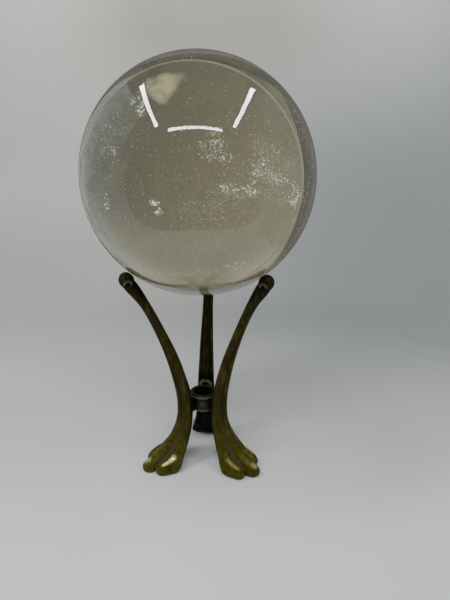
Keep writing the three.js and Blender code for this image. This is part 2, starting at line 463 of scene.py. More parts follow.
def mark_age(mesh):
    """Marks, in the leg's own frame, what has been rubbed, the toes' polishing with its painted highlight,
    the painted highlights on the crescent and the arch, and the dirt and painted shade.
    """
    points = mesh_points(mesh) / MM
    inwards = -mesh_normals(mesh)[:, 0]
    from_axis = np.hypot(points[:, 0], points[:, 1])
    height = points[:, 2]
    near_ring = 1 - smoothstep(from_axis, *RING_SHADE["distance"])
    near_ring *= smoothstep(height, *RING_SHADE["bottom"]) * (1 - smoothstep(height, *RING_SHADE["top"]))
    inner_face = smoothstep(inwards, *INNER_SHADE["inwards"]) * (1 - smoothstep(height, *INNER_SHADE["top"]))
    # A painted highlight along the boss's round top edge.
    arch_centre = BOSS["top"] - LUG["width"] / 2
    arch = bell(np.hypot(points[:, 1], height - arch_centre) - LUG["width"] / 2, HIGHLIGHT_ARCH["width"])
    arch *= (height > arch_centre) * (from_axis < HIGHLIGHT_ARCH["distance"])
    head = HEAD_DARKENING["share"] * smoothstep(height, *HEAD_DARKENING["heights"])
    ridge, dent = on_crescent(points)
    # Painted shade round the ring, on the inner faces and in the crescent's dent, and darker towards the
    # head's top, but none under the painted highlights.
    grime_and_shade = np.clip(near_ring + inner_face, 0, 1) * (1 - arch) + head + DENT_SHADE * dent
    set_attribute(mesh, "rubbed", 1 - smoothstep(height, *RUBBED_HEIGHTS))
    # The toes' crests are rubbed bright, with a painted highlight over them.
    set_attribute(mesh, "polish_and_highlight", toe_polish_and_highlight(points))
    # Painted highlights on the crescent and the boss's arch.
    set_attribute(mesh, "painted_highlight", np.clip(ridge + HIGHLIGHT_ARCH["share"] * arch, 0, 1))
    set_attribute(mesh, "grime_and_shade", np.clip(grime_and_shade, 0, 1) * (1 - ridge))


def turned(points, azimuth, paw_turn):
    """The leg's points turned to its azimuth, and those of the paw a little further."""
    share = 1 - smoothstep(points[:, 2] / MM, *PAW_TURN_HEIGHTS)
    angle = np.radians(azimuth + paw_turn * share)
    x = points[:, 0] * np.cos(angle) - points[:, 1] * np.sin(angle)
    y = points[:, 0] * np.sin(angle) + points[:, 1] * np.cos(angle)
    return np.column_stack([x, y, points[:, 2]])


def finish_leg(mesh, azimuth, paw_turn, seed):
    points = turned(mesh_points(mesh), azimuth, paw_turn)
    for pass_number, (depth, size) in enumerate(LEG_LUMPS):
        points = uneven(points, depth * MM, size * MM, seed + 10 * pass_number)
    points = clear_of_ball(points, FIT_GAP)
    points[:, 2] = np.maximum(points[:, 2], cad_low.z)
    set_mesh_points(mesh, points)
    mark_wear(mesh)


# ---------------------------------------------------------------- ring and rivets


def lathe(profile, sides, closed=True):
    """Points and faces of a closed profile of (radius, height), turned round Z."""
    turn = np.arange(sides) / sides * 2 * math.pi
    rows = [np.stack([r * np.cos(turn), r * np.sin(turn), np.full(sides, z)], 1) for r, z in profile]
    count = len(profile)
    faces = []
    for i in range(count if closed else count - 1):
        for k in range(sides):
            after = (k + 1) % sides
            nxt = (i + 1) % count
            faces.append((i * sides + k, i * sides + after, nxt * sides + after, nxt * sides + k))
    if not closed:
        faces.append(tuple(reversed(range(sides))))
        faces.append(tuple((count - 1) * sides + k for k in range(sides)))
    return np.vstack(rows), faces


def subdivided(points, step):
    """The closed outline with points added so that none are more than step apart."""
    result = []
    for start, end in zip(points, points[1:] + points[:1]):
        pieces = max(1, math.ceil(math.dist(start, end) / step))
        result += [tuple(np.array(start) + (np.array(end) - start) * i / pieces) for i in range(pieces)]
    return result


def ring_outline():
    """The spool's section, with rounded rims and a small fillet at each corner."""
    bottom, top = ring_low.z / MM, ring_high.z / MM
    rim_radius, rim_thickness = RING_PROFILE["rim"]
    foot_radius, foot_thickness = RING_PROFILE["foot"]

    def edge(radius, low, thickness):
        half = thickness / 2
        return [
            (radius - half + half * math.cos(a), low + half + half * math.sin(a))
            for a in np.linspace(-math.pi / 2, math.pi / 2, 13)
        ]

    ease = 0.35
    return [
        (RING_PROFILE["bore"], bottom + ease),
        (RING_PROFILE["bore"] + ease, bottom),
        *edge(foot_radius, bottom, foot_thickness),
        (RING_PROFILE["waist"] + ease, bottom + foot_thickness),
        (RING_PROFILE["waist"], bottom + foot_thickness + ease),
        (RING_PROFILE["waist"], top - rim_thickness - ease),
        (RING_PROFILE["waist"] + ease, top - rim_thickness),
        *edge(rim_radius, top - rim_thickness, rim_thickness),
        (RING_PROFILE["bore"] + ease, top),
        (RING_PROFILE["bore"], top - ease),
    ]


def mark_ring_age(mesh):
    """Marks the copper spot as rubbed, a painted highlight on the rims' lower edges in front, and painted
    shade in the bore.
    """
    points = mesh_points(mesh) / MM
    from_axis = np.hypot(points[:, 0], points[:, 1])
    from_spot = np.linalg.norm(points - COPPER_SPOT["place"], axis=1)
    front = smoothstep(-points[:, 1] / from_axis, *EDGE_HIGHLIGHT["forwards"])
    rim, foot = RING_PROFILE["rim"], RING_PROFILE["foot"]
    edge_highlight = 0
    for (radius, thickness), bottom in ((rim, ring_high.z / MM - rim[1]), (foot, ring_low.z / MM)):
        above = points[:, 2] - bottom - EDGE_HIGHLIGHT["height"] * thickness
        edge_highlight = edge_highlight + bell(np.hypot(from_axis - radius, above), EDGE_HIGHLIGHT["width"])
    beyond_bore = smoothstep(from_axis, RING_PROFILE["bore"], RING_PROFILE["bore"] + BORE_SHADE)
    set_attribute(mesh, "rubbed", COPPER_SPOT["share"] * bell(from_spot, COPPER_SPOT["size"]))
    set_attribute(mesh, "painted_highlight", np.clip(edge_highlight * front, 0, 1))
    set_attribute(mesh, "grime_and_shade", 1 - beyond_bore)


def ring_mesh():
    points, faces = lathe(subdivided(ring_outline(), RING_STEP), RING_SIDES)
    depth, size = RING_LUMPS
    mesh = make_mesh("ring", uneven(points * MM, depth * MM, size * MM, 4), faces)
    mark_ring_age(mesh)
    mark_wear(mesh, 6)
    return mesh


def rivet_mesh(azimuth):
    """A rivet set from inside the ring's bore: a low dome, then a shank with a bevelled end."""
    rivet = RIVET
    bearing = math.sqrt(RING_PROFILE["bore"] ** 2 - rivet["head_radius"] ** 2) - GAP
    dome = [
        (rivet["head_radius"] * math.sin(a), bearing - rivet["head_height"] * math.cos(a))
        for a in np.linspace(0.1, math.pi / 2, 9)
    ]
    shank = [
        (rivet["radius"], bearing),
        (rivet["radius"], rivet["reach"] - rivet["bevel"]),
        (rivet["radius"] - rivet["bevel"], rivet["reach"]),
    ]
    points, faces = lathe(dome + shank, 40, closed=False)
    turn = Matrix.Rotation(math.radians(azimuth), 3, "Z") @ Matrix.Rotation(math.pi / 2, 3, "Y")
    middle = (ring_high.z - RING_PROFILE["rim"][1] * MM + ring_low.z + RING_PROFILE["foot"][1] * MM) / 2
    points = points * MM @ np.array(turn).T + (0, 0, middle)
    mesh = make_mesh("rivet", points, faces)
    # Painted shade: the rivet sits in the shaded bore and is dark all over.
    set_attribute(mesh, "grime_and_shade", np.ones(len(points)))
    mark_wear(mesh, 3)
    return mesh


# ---------------------------------------------------------------- ball


def ball_mesh():
    """The ground sphere, a little uneven."""
    depth, per_radius = BALL_DIPS
    build = bmesh.new()
    bmesh.ops.create_icosphere(build, subdivisions=6, radius=1)
    for vertex in build.verts:
        unit = vertex.co.normalized()
        dip = 0.5 + 0.5 * noise.noise(unit * per_radius)
        vertex.co = BALL_CENTRE + unit * (BALL_RADIUS - depth * MM * dip)
    mesh = bpy.data.meshes.new("ball")
    build.to_mesh(mesh)
    build.free()
    mesh.polygons.foreach_set("use_smooth", [True] * len(mesh.polygons))
    return mesh


def in_ball(place):
    """A place given in ball radii from the ball's centre, in the frame."""
    return BALL_CENTRE + Vector(place) * BALL_RADIUS


def flakes(name, spots, dice):
    """One mesh of many thin closed flakes. A spot is (place, normal, radius, thickness) in metres."""
    points, faces = [], []
    for place, normal, radius, thickness in spots:
        turn = normal.to_track_quat("Z", "Y").to_matrix()
        first = len(points)
        spin = dice.uniform(0, math.tau)
        for k in range(FLAKE_SIDES):
            angle = spin + math.tau * k / FLAKE_SIDES
            reach = radius * dice.uniform(0.55, 1.0)
            points.append(place + turn @ Vector((reach * math.cos(angle), reach * math.sin(angle), 0)))
        points.append(place + turn @ Vector((0, 0, thickness / 2)))
        points.append(place - turn @ Vector((0, 0, thickness / 2)))
        for k in range(FLAKE_SIDES):
            after = (k + 1) % FLAKE_SIDES
            faces.append((first + k, first + after, first + FLAKE_SIDES))
            faces.append((first + after, first + k, first + FLAKE_SIDES + 1))
    return make_mesh(name, points, faces, smooth=False)


def scattered(dice, spread=(1, 1, 1)):
    """A random vector with a spread along each axis."""
    return Vector([dice.gauss(0, s) for s in spread])


def cloud(centre, spread, count, size, dice):
    """Spots for a cloud of flakes round a few cores: centre and spread in ball radii, size in mm."""
    facing = Vector((dice.uniform(-1, 1), -1.2, dice.uniform(-1, 1))).normalized()
    cores = [scattered(dice, spread) for _ in range(7)]
    spots = []
    for _ in range(count):
        offset = dice.choice(cores) + 0.45 * scattered(dice, spread)
        normal = (facing + 0.9 * scattered(dice)).normalized()
        radius = size * (0.25 + 0.75 * dice.random() ** 2)
        spots.append((in_ball(Vector(centre) + offset), normal, radius * MM, FLAKE_THICKNESS * MM))
    return spots


def patchy(dice, value):
    """A noise value made ragged, so that patches cut out by it have loose edges."""
    return value + dice.uniform(-0.35, 0.35)


def sheet_spots(centre, facing, size, bow, count, dice):
    """Spots strewn over a bowed healed fracture. Places, size and bow are in ball radii."""
    turn = Vector(facing).normalized().to_track_quat("Z", "Y").to_matrix()
    spots = []
    while len(spots) < count:
        x, y = dice.gauss(0, 0.5), dice.gauss(0, 0.5)
        if patchy(dice, noise.noise(Vector((x * 2.4, y * 2.4, 40 * bow)))) < 0:
            continue
        place = Vector(centre) + turn @ Vector((x * size[0], y * size[1], bow * (x * x + y * y)))
        if place.length > INCLUSION_REACH:
            continue
        normal = turn @ Vector((dice.gauss(0, 0.5), dice.gauss(0, 0.5), 1)).normalized()
        radius = 0.07 + 0.12 * dice.random() ** 3
        spots.append((in_ball(place), normal, radius * MM, SHEET_THICKNESS * MM))
    return spots


def speck_spots(count, dice):
    """Fine dust of flakes all through the ball, thicker in drifts."""
    spots = []
    while len(spots) < count:
        place = Vector([dice.uniform(-1, 1) for _ in range(3)])
        if place.length > INCLUSION_REACH or patchy(dice, noise.noise(place * 2.6)) < 0.05:
            continue
        normal = scattered(dice).normalized()
        radius = 0.06 + 0.24 * dice.random() ** 7
        spots.append((in_ball(place), normal, radius * MM, FLAKE_THICKNESS * MM))
    return spots


def plate(centre, facing, outline, thickness, ripple, seed):
    """A thin closed sheet with a ragged edge. centre and outline are in ball radii."""
    turn = Vector(facing).normalized().to_track_quat("Z", "Y").to_matrix()
    sectors, rings = 72, 14
    edge = catmull_rom(outline, np.arange(sectors) / sectors, closed=True)
    points, fade, faces = [], [], []
    for side in (1, -1):
        for i in range(rings):
            share = 1 - i / rings
            for k in range(sectors):
                ragged = 1 + 0.12 * noise.noise(Vector((*edge[k] * 9, seed)))
                x, y = edge[k] * share * ragged
                lift = ripple * noise.noise(Vector((x * 4, y * 4, seed + 5)))
                lift += side * thickness * (1 - share * share)
                points.append(in_ball(Vector(centre) + turn @ Vector((x, y, lift))))
                fade.append(1 - share)
        lift = ripple * noise.noise(Vector((0, 0, seed + 5))) + side * thickness
        points.append(in_ball(Vector(centre) + turn @ Vector((0, 0, lift))))
        fade.append(1)
    per_side = rings * sectors + 1
    for side in (0, 1):
        start = side * per_side
        for i in range(rings):
            for k in range(sectors):
                after = (k + 1) % sectors
                a, b = start + i * sectors + k, start + i * sectors + after
                if side and i == 0:
                    a, b = k, after
                if i == rings - 1:
                    face = (a, b, start + per_side - 1)
                else:
                    face = (a, b, start + (i + 1) * sectors + after, start + (i + 1) * sectors + k)
                faces.append(face if side == 0 else tuple(reversed(face)))
    mesh = make_mesh("plate", points, faces)
    set_attribute(mesh, "fade", fade)
    build = bmesh.new()
    build.from_mesh(mesh)
    loose = [v for v in build.verts if not v.link_faces]
    bmesh.ops.delete(build, geom=loose, context="VERTS")
    build.to_mesh(mesh)
    build.free()
    return mesh


# ---------------------------------------------------------------- materials


def add_node(tree, kind, sockets=None, **settings):
    """Adds a node. sockets maps an input to a value or to the output that feeds it."""
    node = tree.nodes.new(kind)
    for name, value in settings.items():
        setattr(node, name, value)
    for name, value in (sockets or {}).items():
        if isinstance(value, bpy.types.NodeSocket):
            tree.links.new(value, node.inputs[name])
        else:
            node.inputs[name].default_value = value
    return node


def new_material(name):
    material = bpy.data.materials.new(name)
    material.use_nodes = True
    tree = material.node_tree
    return material, tree, tree.nodes["Principled BSDF"]


def noise_value(tree, scale, detail=4, distortion=0.0, stretch=1):
    """A noise in the frame's own metres: lumps per metre, drawn out stretch times along Z."""
    place = add_node(tree, "ShaderNodeTexCoord").outputs["Object"]
    sockets = {0: place, 1: (1, 1, 1 / stretch)}
    drawn = add_node(tree, "ShaderNodeVectorMath", sockets, operation="MULTIPLY").outputs["Vector"]
    sockets = {"Vector": drawn, "Scale": scale, "Detail": detail, "Distortion": distortion}
    return add_node(tree, "ShaderNodeTexNoise", sockets).outputs["Fac"]


def remap(tree, value, low, high, to_low=0.0, to_high=1.0, how="LINEAR"):
    sockets = {"Value": value, "From Min": low, "From Max": high, "To Min": to_low, "To Max": to_high}
    return add_node(tree, "ShaderNodeMapRange", sockets, interpolation_type=how).outputs["Result"]


def math_node(tree, operation, a, b):
    """A sum, held between 0 and 1, or a product."""
    node = add_node(tree, "ShaderNodeMath", {0: a, 1: b}, operation=operation)
    node.use_clamp = operation != "MULTIPLY"
    return node.outputs[0]


def blend_colour(tree, share, a, b):
    node = add_node(tree, "ShaderNodeMix", {"Factor": share}, data_type="RGBA")
    for socket, value in ((6, a), (7, b)):
        if isinstance(value, bpy.types.NodeSocket):
            tree.links.new(value, node.inputs[socket])
        else:
            node.inputs[socket].default_value = (*value, 1)
    return node.outputs[2]


def attribute(tree, name):
    return add_node(tree, "ShaderNodeAttribute", attribute_name=name).outputs["Fac"]


def bump(tree, shader, strength, distance, height):
    sockets = {"Strength": strength, "Distance": distance, "Height": height}
    normal = add_node(tree, "ShaderNodeBump", sockets).outputs["Normal"]
    tree.links.new(normal, shader.inputs["Normal"])


def shaded(colour, share):
    return tuple(share * value for value in colour)


# Noises over the brass: lumps per metre, detail, distortion, and how far they are drawn out.
BRASS_NOISES = [(260, 5, 0.6), (90, 3, 0.3), (2400, 3), (620, 4, 0, 9)]

# How a mark comes in on the brass: the values of its noise or attribute between which its share
# goes from the third number to the fourth.
BRASS_MARKS = {
    "mottle": (0.3, 0.7, 0, 1),
    "blotch": (0.42, 0.68, 0, 0.5),
    "dark_streaks": (0.5, 0.7, 0, 0.6),
    "bare_streaks": (0.46, 0.3, 0, 0.5),
    "hollow": (0.45, 0.9, 0, 0.8),
    "grime_and_shade": (0, 1, 0, 0.96),
    "broken_polish_and_highlight": (0.36, 0.58, 0.3, 1),
}
BARE_FROM = 0.45
# The colour of dirt and painted shade.
GRIME_AND_SHADE_COLOUR = (0.004, 0.005, 0.003)

# The patina is nearly matt. Metal and roughness go from the first number to the second: metal with
# the toes' polishing and its painted highlight, and roughness towards the paw. The polishing then
# takes the roughness down to the share given.
BRASS_GLOSS = {"metal": (0.28, 0.85), "specular": 0.06, "roughness": (0.40, 0.31), "polish_and_highlight": 0.62}


def brass_material(name, patina, rubbed, bare, polished_with_highlight, painted_highlight, dust, bare_share):
    """Cast brass under a dull patina: rubbed low down, bare on ridges, bright from polishing on the toes'
    crests under a painted highlight, with further painted highlights, and darkened by dirt and painted shade.
    """
    material, tree, shader = new_material(name)
    mottle, blotch, grain, streaks = (noise_value(tree, *settings) for settings in BRASS_NOISES)

    def mark(kind, value):
        return remap(tree, value, *BRASS_MARKS[kind])

    low_down = attribute(tree, "rubbed")
    wear = remap(tree, attribute(tree, "wear"), BARE_FROM, 1, 0, bare_share)
    hollow = mark("hollow", attribute(tree, "hollow"))
    grime_and_shade = mark("grime_and_shade", attribute(tree, "grime_and_shade"))
    polish_and_highlight = math_node(tree, "MULTIPLY", attribute(tree, "polish_and_highlight"), mark("broken_polish_and_highlight", mottle))
    colour = patina
    for share, layer in (
        (mark("mottle", mottle), shaded(patina, 0.65)),
        (low_down, rubbed),
        (mark("blotch", blotch), shaded(patina, 0.9)),
        (mark("dark_streaks", streaks), shaded(patina, 0.3)),
        (mark("bare_streaks", streaks), bare),
        (wear, bare),
        # rubbed bright toe crests, with a painted highlight
        (polish_and_highlight, polished_with_highlight),
        (hollow, blend_colour(tree, low_down, shaded(patina, 0.3), dust)),
        # dirt and painted shade
        (grime_and_shade, GRIME_AND_SHADE_COLOUR),
        # painted highlights on the crescents, the arches and the rims in front
        (attribute(tree, "painted_highlight"), painted_highlight),
    ):
        colour = blend_colour(tree, share, colour, layer)
    tree.links.new(colour, shader.inputs["Base Color"])
    metal = math_node(tree, "ADD", remap(tree, polish_and_highlight, 0, 1, *BRASS_GLOSS["metal"]), wear)
    tree.links.new(metal, shader.inputs["Metallic"])
    shader.inputs["Specular IOR Level"].default_value = BRASS_GLOSS["specular"]
    rough = remap(tree, low_down, 0, 1, *BRASS_GLOSS["roughness"])
    for value, low, high, more in ((grain, 0.3, 0.8, 0.08), (hollow, 0, 1, 0.3), (grime_and_shade, 0, 1, 0.3)):
        rough = math_node(tree, "ADD", rough, remap(tree, value, low, high, 0, more))
    rough = math_node(tree, "MULTIPLY", rough, remap(tree, polish_and_highlight, 0, 1, 1, BRASS_GLOSS["polish_and_highlight"]))
    tree.links.new(rough, shader.inputs["Roughness"])
    relief = math_node(tree, "ADD", grain, remap(tree, mottle, 0, 1, 0, 0.6))
    bump(tree, shader, 0.3, 0.05 * MM, relief)
    return material


# Smoky quartz: how it bends light, and the colour and density of its smoke, per metre.
QUARTZ = {"ior": 1.544, "smoke": (0.49, 0.445, 0.255, 1), "density": 18.6}


def quartz_material():
    """Clear, faintly smoky quartz: the tint is in the depth of the stone."""
    material, tree, shader = new_material("smoky_quartz")
    scratches = noise_value(tree, 900, 6, 1.2)
    shader.inputs["Base Color"].default_value = (1, 1, 1, 1)
    shader.inputs["IOR"].default_value = QUARTZ["ior"]
    shader.inputs["Transmission Weight"].default_value = 1
    tree.links.new(remap(tree, scratches, 0.55, 0.8, 0.0, 0.06), shader.inputs["Roughness"])
    sockets = {"Color": QUARTZ["smoke"], "Density": QUARTZ["density"]}
    absorb = add_node(tree, "ShaderNodeVolumeAbsorption", sockets)
    tree.links.new(absorb.outputs["Volume"], tree.nodes["Material Output"].inputs["Volume"])
    return material


def self_lit_flake_material(name, colour, glow, roughness):
    """A fracture plane or fluid speck inside the stone, which throws light back and glows by itself, as
    painted light for the lamps' light that reaches it.
    """
    material, tree, shader = new_material(name)
    mottle = noise_value(tree, 500, 4)
    tint = blend_colour(tree, remap(tree, mottle, 0.35, 0.65), colour, shaded(colour, 0.35))
    tree.links.new(tint, shader.inputs["Base Color"])
    tree.links.new(tint, shader.inputs["Emission Color"])
    shader.inputs["Emission Strength"].default_value = glow
    tree.links.new(remap(tree, mottle, 0.3, 0.7, roughness, roughness + 0.2), shader.inputs["Roughness"])
    return material


def self_lit_veil_material(name, colour, glow, density, scale):
    """A wide see-through flake, with wisps and fine dust over it, which fades out at its edge and glows by
    itself as a painted glint.
    """
    material, tree, shader = new_material(name)
    wisps = noise_value(tree, scale, 7, 1.5)
    dust = noise_value(tree, 2600, 2)
    shader.inputs["Base Color"].default_value = (*colour, 1)
    shader.inputs["Emission Color"].default_value = (*colour, 1)
    shader.inputs["Emission Strength"].default_value = glow
    shader.inputs["Roughness"].default_value = 0.5
    shader.inputs["Specular IOR Level"].default_value = 0
    edge = remap(tree, attribute(tree, "fade"), 0.0, 0.4)
    cover = math_node(tree, "MULTIPLY", edge, remap(tree, wisps, 0.35, 0.6, 0.35, 1))
    cover = math_node(tree, "MULTIPLY", cover, remap(tree, dust, 0.4, 0.62, 0.6, 1))
    tree.links.new(math_node(tree, "MULTIPLY", cover, density), shader.inputs["Alpha"])
    return material


# Painted light and shade on the paper, as a light box would cast them: a darker band where it bends up,
# a darker right side, a darker middle high up behind the stand and a lighter far left. Each has its
# colour and strength, and the ramps that bound it. A ramp runs along an axis between two places, in
# ball radii, from one share to another.
PAPER_LIGHT_AND_SHADE = [
    ((0.550, 0.553, 0.515), 0.85, [("Y", 2.0, 6.0, 0, 1), ("X", -4.0, 3.0, 1, 0)]),
    ((0.26, 0.262, 0.25), 0.40, [("Y", 1.0, 4.4, 0, 1), ("Z", 0.6, 2.6, 1, 0)]),
    (
        (0.25, 0.27, 0.28), 0.9,
        [("Y", 0.0, 5.0, 0, 1), ("Z", 1.8, 6.6, 1, 0), ("X", -3.5, 2.6, 0, 1), ("X", 3.5, 7.0, 1, 0.68)],
    ),
    ((0.285, 0.283, 0.248), 0.95, [("Z", 3.2, 6.2, 0, 1), ("X", -5.4, -2.0, 0, 1), ("X", 0.3, 4.2, 1, 0)]),
]


def paper_material():
    """Matt paper, with painted shade where it bends up, on its right and high up behind the stand, and
    painted light on its far left.
    """
    material, tree, shader = new_material("pale_paper")
    mottle = noise_value(tree, 14, 5)
    fibre = noise_value(tree, 900, 5)
    colour = blend_colour(tree, remap(tree, mottle, 0.3, 0.7), (0.53, 0.553, 0.548), (0.50, 0.522, 0.518))
    colour = blend_colour(tree, remap(tree, fibre, 0.35, 0.75, 0, 0.25), colour, (0.42, 0.44, 0.44))
    place = add_node(tree, "ShaderNodeTexCoord").outputs["Object"]
    axes = add_node(tree, "ShaderNodeSeparateXYZ", {"Vector": place}).outputs
    # The light and shade painted onto the paper, one ramped tone at a time.
    for tone, share, ramps in PAPER_LIGHT_AND_SHADE:
        for axis, low, high, *shares in ramps:
            ramp = remap(tree, axes[axis], low * BALL_RADIUS, high * BALL_RADIUS, *shares, "SMOOTHSTEP")
            share = math_node(tree, "MULTIPLY", ramp, share)
        colour = blend_colour(tree, share, colour, tone)
    tree.links.new(colour, shader.inputs["Base Color"])
    shader.inputs["Roughness"].default_value = 0.9
    bump(tree, shader, 0.12, 0.2 * MM, fibre)
    return material


def lamp_material(name, glow=None):
    """A black surface that shines by itself: with one brightness, or with each point's own glow."""
    material, tree, shader = new_material(name)
    shader.inputs["Base Color"].default_value = (0, 0, 0, 1)
    shader.inputs["Roughness"].default_value = 1
    shader.inputs["Specular IOR Level"].default_value = 0
    shader.inputs["Emission Color"].default_value = (1, 0.985, 0.96, 1)
    if glow is None:
        tree.links.new(attribute(tree, "glow"), shader.inputs["Emission Strength"])
    else:
        shader.inputs["Emission Strength"].default_value = glow
    return material


def foil_material(name, glow):
    """A lit wall of crumpled white foil, as light boxes have at their sides."""
    material = lamp_material(name)
    tree = material.node_tree
    shader = tree.nodes["Principled BSDF"]
    crumple = noise_value(tree, 30, 5, 0.4)
    tint = blend_colour(tree, remap(tree, crumple, 0.35, 0.65), (0.88, 0.95, 1.0), (0.96, 1.0, 0.99))
    tree.links.new(tint, shader.inputs["Emission Color"])
    tree.links.new(remap(tree, crumple, 0.3, 0.7, 0.7 * glow, 1.3 * glow), shader.inputs["Emission Strength"])
    return material


# ---------------------------------------------------------------- pieces


def add_piece(name, mesh, material, body, slot, *nodes):
    piece = bpy.data.objects.new(name, mesh)
    bpy.context.scene.collection.objects.link(piece)
    mesh.materials.clear()
    mesh.materials.append(material)
    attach(piece, body)
    if nodes:
        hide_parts(*nodes)


def add_inclusion(name, mesh, material):
    add_piece(name, mesh, material, "ball", "smoky_quartz")


aged_brass = brass_material(
    "aged_brass",
    patina=(0.034, 0.0285, 0.006),
    rubbed=(0.062, 0.056, 0.006),
    bare=(0.10, 0.088, 0.022),
    # rubbed bright toe crests, with a painted highlight
    polished_with_highlight=(0.95, 0.86, 0.44),
    # painted highlights on the crescents and the arches
    painted_highlight=(0.115, 0.125, 0.095),
    dust=(0.056, 0.052, 0.033),
    bare_share=0.5,
)
dark_brass = brass_material(
    "dark_brass",
    patina=(0.019, 0.027, 0.018),
    rubbed=(0.13, 0.075, 0.012),
    bare=(0.05, 0.056, 0.040),
    polished_with_highlight=(0.05, 0.056, 0.040),
    # a painted highlight on the rims' lower edges in front
    painted_highlight=(0.14, 0.122, 0.072),
    dust=(0.02, 0.02, 0.014),
    bare_share=0.12,
)

base_leg = leg_mesh()
for seed, (leg_name, leg_azimuth) in enumerate(LEGS.items()):
    leg = base_leg.copy()
    finish_leg(leg, leg_azimuth, PAW_TURN[leg_name], seed)
    add_piece(f"stand_leg_{leg_name}", leg, aged_brass, "stand", "aged_brass", f"leg_{leg_name}")
    rivet = rivet_mesh(leg_azimuth)
    add_piece(f"stand_rivet_{leg_name}", rivet, dark_brass, "stand", "dark_brass", f"rivet_{leg_name}")
add_piece("stand_ring", ring_mesh(), dark_brass, "stand", "dark_brass", "center_ring")
add_piece("ball", ball_mesh(), quartz_material(), "ball", "smoky_quartz", "crystal_ball")

# Clouds of bright flakes in the stone, which glow by themselves as painted light: centre and spread in ball
# radii, count, size in mm.
FLAKE_CLOUDS = [
    ((0.15, -0.36, 0.19), (0.06, 0.03, 0.035), 330, 0.22),
    ((0.18, -0.27, -0.03), (0.025, 0.02, 0.015), 80, 0.28),
    ((0.28, -0.35, -0.05), (0.06, 0.02, 0.025), 150, 0.25),
    ((0.35, -0.28, -0.05), (0.03, 0.02, 0.02), 130, 0.28),
    ((0.44, -0.38, 0.07), (0.03, 0.02, 0.03), 120, 0.30),
    ((0.54, -0.21, -0.01), (0.08, 0.04, 0.05), 270, 0.24),
    ((0.63, -0.23, -0.11), (0.04, 0.03, 0.04), 110, 0.26),
    ((0.68, -0.28, -0.10), (0.014, 0.02, 0.05), 95, 0.30),
    ((0.46, -0.23, 0.25), (0.10, 0.04, 0.10), 180, 0.17),
    ((0.39, -0.18, 0.16), (0.06, 0.04, 0.07), 130, 0.17),
    ((-0.22, -0.41, -0.12), (0.018, 0.02, 0.012), 70, 0.32),
    ((-0.19, -0.41, -0.17), (0.01, 0.02, 0.012), 50, 0.32),
    ((-0.27, -0.59, 0.52), (0.025, 0.02, 0.06), 260, 0.24),
    ((-0.53, -0.40, -0.15), (0.015, 0.02, 0.03), 60, 0.24),
    ((-0.46, -0.42, 0.19), (0.01, 0.02, 0.02), 40, 0.22),
    ((0.27, -0.21, -0.52), (0.04, 0.04, 0.02), 110, 0.20),
    ((-0.11, -0.02, -0.05), (0.22, 0.1, 0.12), 420, 0.13),
    ((0.02, -0.10, -0.16), (0.12, 0.08, 0.03), 160, 0.14),
]
SPECK_COUNT = 6500
dice = random.Random(11)
# The flakes and specks glow by themselves: painted light in place of the lamps' light inside the stone.
white_flakes = self_lit_flake_material("white_flakes", (0.97, 0.97, 0.95), 2.4, 0.25)
fine_dust = self_lit_flake_material("fine_dust", (0.95, 0.96, 0.90), 0.5, 0.4)
for number, (place, spread, count, size) in enumerate(FLAKE_CLOUDS, 1):
    spots = cloud(place, spread, count, size, dice)
    add_inclusion(f"ball_flakes_{number:02d}", flakes("flakes", spots, dice), white_flakes)
add_inclusion("ball_specks", flakes("specks", speck_spots(SPECK_COUNT, dice), dice), fine_dust)

# Healed fractures: centre, the way each faces, its size and bow, in ball radii, and its specks.
FRACTURES = {
    "right": ((0.50, -0.20, 0.06), (0.5, -1, 0.1), (0.20, 0.24), 0.05, 1100),
    "middle": ((-0.05, 0.05, -0.12), (-0.2, -1, 0.5), (0.42, 0.22), 0.04, 1400),
    "left": ((-0.46, -0.05, 0.24), (-0.4, -1, 0.2), (0.22, 0.26), 0.06, 900),
    "low": ((0.05, -0.05, -0.50), (0.1, -1, 1.6), (0.45, 0.30), 0.05, 1300),
}
for fracture_name, (place, facing, size, bow, count) in FRACTURES.items():
    dust = flakes("fracture", sheet_spots(place, facing, size, bow, count, dice), dice)
    add_inclusion(f"ball_fracture_{fracture_name}", dust, fine_dust)

# One wide smooth flake catches the lamps, and glows by itself as a painted glint: its outline is in ball
# radii.
GOLD_FLAKE = {
    "centre": (-0.15, -0.50, 0.58),
    "facing": (0.2, -1, 0.5),
    "outline": [(-0.14, 0.06), (0.0, 0.11), (0.16, 0.09), (0.09, -0.04), (0.0, -0.13), (-0.08, -0.08)],
    "thickness": 0.004,
    "ripple": 0.02,
}
gold_veil = self_lit_veil_material("gold_flake", colour=(0.85, 0.80, 0.52), glow=0.5, density=0.5, scale=90)
add_inclusion("ball_flake_gold", plate(**GOLD_FLAKE, seed=3), gold_veil)

# ---------------------------------------------------------------- stage


def add_stage(name, mesh, material):
    thing = bpy.data.objects.new(name, mesh)
    bpy.context.scene.collection.objects.link(thing)
    mesh.materials.append(material)
    return thing


BACKDROP = {"radius": 8.2, "bend": 3.4, "height": 14.0}


def backdrop_mesh():
    """A round floor that bends up into a wall, in ball radii."""
    flat = BACKDROP["radius"] - BACKDROP["bend"]
    profile = [(r, 0.0) for r in np.linspace(0.02, flat, 12)]
    profile += [
        (flat + BACKDROP["bend"] * math.sin(a), BACKDROP["bend"] * (1 - math.cos(a)))
        for a in np.linspace(0, math.pi / 2, 25)[1:]
    ]
    profile.append((BACKDROP["radius"], BACKDROP["height"]))
    points, faces = lathe(profile, 120, closed=False)
    return make_mesh("backdrop", points * BALL_RADIUS, faces[:-1])


add_stage("backdrop", backdrop_mesh(), paper_material())

# The lamps, the cards and the camera stand on a rig, turned a little about Z.
RIG = Matrix.Rotation(math.radians(5.33), 3, "Z")
FLOOR = (cad_low.z - BALL_CENTRE.z) / BALL_RADIUS

